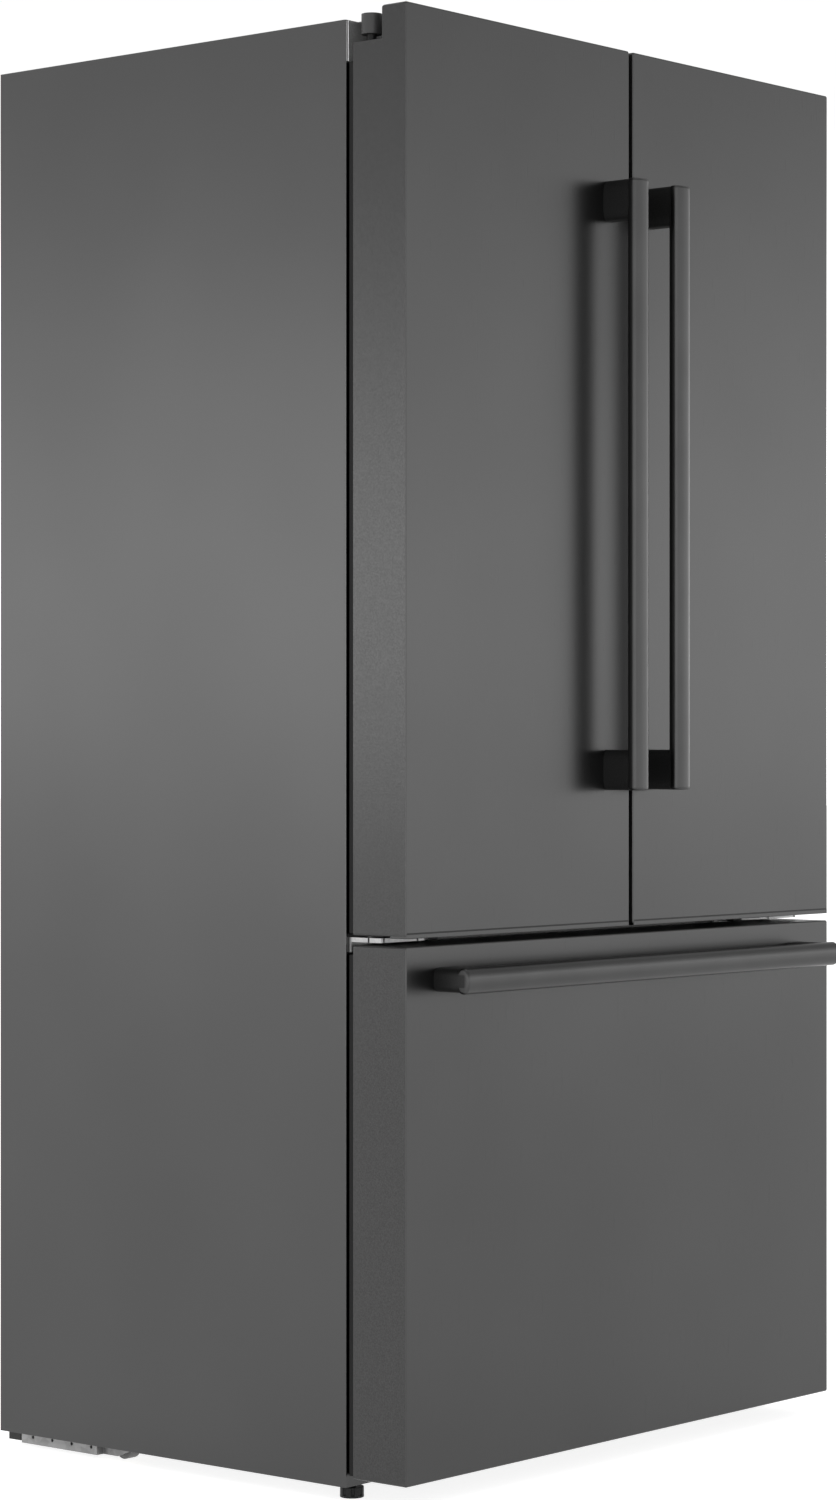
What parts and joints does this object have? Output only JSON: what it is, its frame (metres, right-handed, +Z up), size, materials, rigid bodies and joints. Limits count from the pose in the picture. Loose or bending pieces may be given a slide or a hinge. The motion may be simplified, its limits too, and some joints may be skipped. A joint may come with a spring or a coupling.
{
  "type": "french door refrigerator",
  "caption": "Free-standing refrigerator: paired hinged fresh-food doors with oval bar handles above a full-width pull-out freezer drawer.",
  "frame": {"origin": "on the floor, under the middle of the whole object with its handles", "axes": "+Z up, +X to the right seen from the front, front towards -Y"},
  "size_m": [0.905, 0.761, 1.829],
  "materials": {
    "dark_steel": "fine vertical brush, dark tint, fingerprint-resistant coat",
    "dark_bar": "smooth dark satin metal",
    "zinc_steel": "zinc-coated sheet, light spangle",
    "hinge_black": "black powder coat",
    "foam": "rigid foam, hidden inside the walls",
    "white_liner": "vacuum-formed white plastic, soft gloss",
    "white_moulding": "moulded white plastic, fine texture",
    "compressor_black": "black enamel",
    "coil_aluminium": "bare folded fins",
    "black_plastic": "black moulded plastic",
    "roller_plastic": "dark nylon",
    "shelf_glass": "clear tempered glass, green edge",
    "clear_plastic": "clear moulded plastic",
    "seal_rubber": "dark grey soft seal",
    "mullion_grey": "dark grey moulded cover"
  },
  "bodies": {
    "cabinet": {"outer_case": "dark_steel", "rear_panel": "zinc_steel", "insulation": "foam", "fresh_food_liner": "white_liner", "freezer_liner": "white_liner", "compressor_base": "zinc_steel", "compressor": "compressor_black", "condenser": "coil_aluminium", "fan_bracket": "zinc_steel", "drain_pan": "black_plastic", "machine_cover": "zinc_steel", "power_inlet": "black_plastic", "evaporator": "coil_aluminium", "evaporator_cover": "white_moulding", "air_tower": "white_moulding", "control_panel": "white_moulding", "shelf_upper_left": "shelf_glass", "shelf_upper_right": "shelf_glass", "shelf_lower": "shelf_glass", "crisper_frame": "white_moulding", "top_hinge_left": "hinge_black", "top_hinge_right": "hinge_black", "middle_hinge_left": "zinc_steel", "middle_hinge_right": "zinc_steel", "outer_rail_left": "zinc_steel", "outer_rail_right": "zinc_steel"},
    "left_door": {"door_skin_left": "dark_steel", "door_core_left": "foam", "door_liner_left": "white_liner", "door_seal_left": "seal_rubber", "door_handle_left": "dark_bar", "door_bin_lower_left": "clear_plastic", "door_bin_upper_left": "clear_plastic"},
    "right_door": {"door_skin_right": "dark_steel", "door_core_right": "foam", "door_liner_right": "white_liner", "door_seal_right": "seal_rubber", "door_handle_right": "dark_bar", "door_bin_lower_right": "clear_plastic", "door_bin_upper_right": "clear_plastic"},
    "mullion_flap": {"centre_mullion": "mullion_grey"},
    "freezer_drawer": {"drawer_skin": "dark_steel", "drawer_core": "foam", "drawer_liner": "white_liner", "drawer_seal": "seal_rubber", "drawer_handle": "dark_bar", "drawer_carrier": "zinc_steel", "freezer_basket": "white_moulding"},
    "middle_rails": {"middle_rail_left": "zinc_steel", "middle_rail_right": "zinc_steel"},
    "upper_freezer_tray": {"freezer_tray": "clear_plastic"},
    "left_crisper": {"crisper_left": "clear_plastic"},
    "right_crisper": {"crisper_right": "clear_plastic"},
    "condenser_fan_wheel": {"condenser_fan": "black_plastic"},
    "evaporator_fan_wheel": {"evaporator_fan": "white_moulding"},
    "left_foot": {"front_foot_left": "black_plastic"},
    "right_foot": {"front_foot_right": "black_plastic"},
    "left_roller": {"rear_roller_left": "roller_plastic"},
    "right_roller": {"rear_roller_right": "roller_plastic"}
  },
  "joints": [
    {"name": "left_door_hinge", "type": "hinge", "parent": "cabinet", "child": "left_door", "pos_m": [-0.4365, -0.2575, 1.257], "axis": [0, 0, -1], "range_deg": [0, 110]},
    {"name": "right_door_hinge", "type": "hinge", "parent": "cabinet", "child": "right_door", "pos_m": [0.4365, -0.2575, 1.257], "axis": [0, 0, 1], "range_deg": [0, 110]},
    {"name": "mullion_fold", "type": "hinge", "parent": "left_door", "child": "mullion_flap", "pos_m": [-0.027, -0.219, 1.246], "axis": [0, 0, -1], "range_deg": [0, 90]},
    {"name": "freezer_drawer_slide", "type": "slide", "parent": "cabinet", "child": "freezer_drawer", "axis": [0, -1, 0], "range_m": [0, 0.42]},
    {"name": "middle_rails_slide", "type": "slide", "parent": "cabinet", "child": "middle_rails", "axis": [0, -1, 0], "range_m": [0, 0.21]},
    {"name": "freezer_tray_slide", "type": "slide", "parent": "cabinet", "child": "upper_freezer_tray", "axis": [0, -1, 0], "range_m": [0, 0.21]},
    {"name": "left_crisper_slide", "type": "slide", "parent": "cabinet", "child": "left_crisper", "axis": [0, -1, 0], "range_m": [0, 0.25]},
    {"name": "right_crisper_slide", "type": "slide", "parent": "cabinet", "child": "right_crisper", "axis": [0, -1, 0], "range_m": [0, 0.25]},
    {"name": "condenser_fan_spin", "type": "hinge", "parent": "cabinet", "child": "condenser_fan_wheel", "pos_m": [0.023, 0.265, 0.145], "axis": [1, 0, 0], "continuous": true},
    {"name": "evaporator_fan_spin", "type": "hinge", "parent": "cabinet", "child": "evaporator_fan_wheel", "pos_m": [0, 0.27, 0.575], "axis": [0, 1, 0], "continuous": true},
    {"name": "left_foot_screw", "type": "hinge", "parent": "cabinet", "child": "left_foot", "pos_m": [-0.4175, -0.2085, 0.02], "axis": [0, 0, 1], "continuous": true},
    {"name": "left_roller_spin", "type": "hinge", "parent": "cabinet", "child": "left_roller", "pos_m": [-0.415, 0.18, 0.014], "axis": [1, 0, 0], "continuous": true},
    {"name": "right_foot_screw", "type": "hinge", "parent": "cabinet", "child": "right_foot", "pos_m": [0.4175, -0.2085, 0.02], "axis": [0, 0, 1], "continuous": true},
    {"name": "right_roller_spin", "type": "hinge", "parent": "cabinet", "child": "right_roller", "pos_m": [0.415, 0.18, 0.014], "axis": [1, 0, 0], "continuous": true}
  ],
  "couplings": [
    {"joint": "middle_rails_slide", "follows": "freezer_drawer_slide", "ratio": 0.5},
    {"joint": "freezer_tray_slide", "follows": "freezer_drawer_slide", "ratio": 0.5},
    {"joint": "left_crisper_slide", "follows": "left_door_hinge", "m_per_rad": 0.13},
    {"joint": "right_crisper_slide", "follows": "right_door_hinge", "m_per_rad": 0.13}
  ]
}
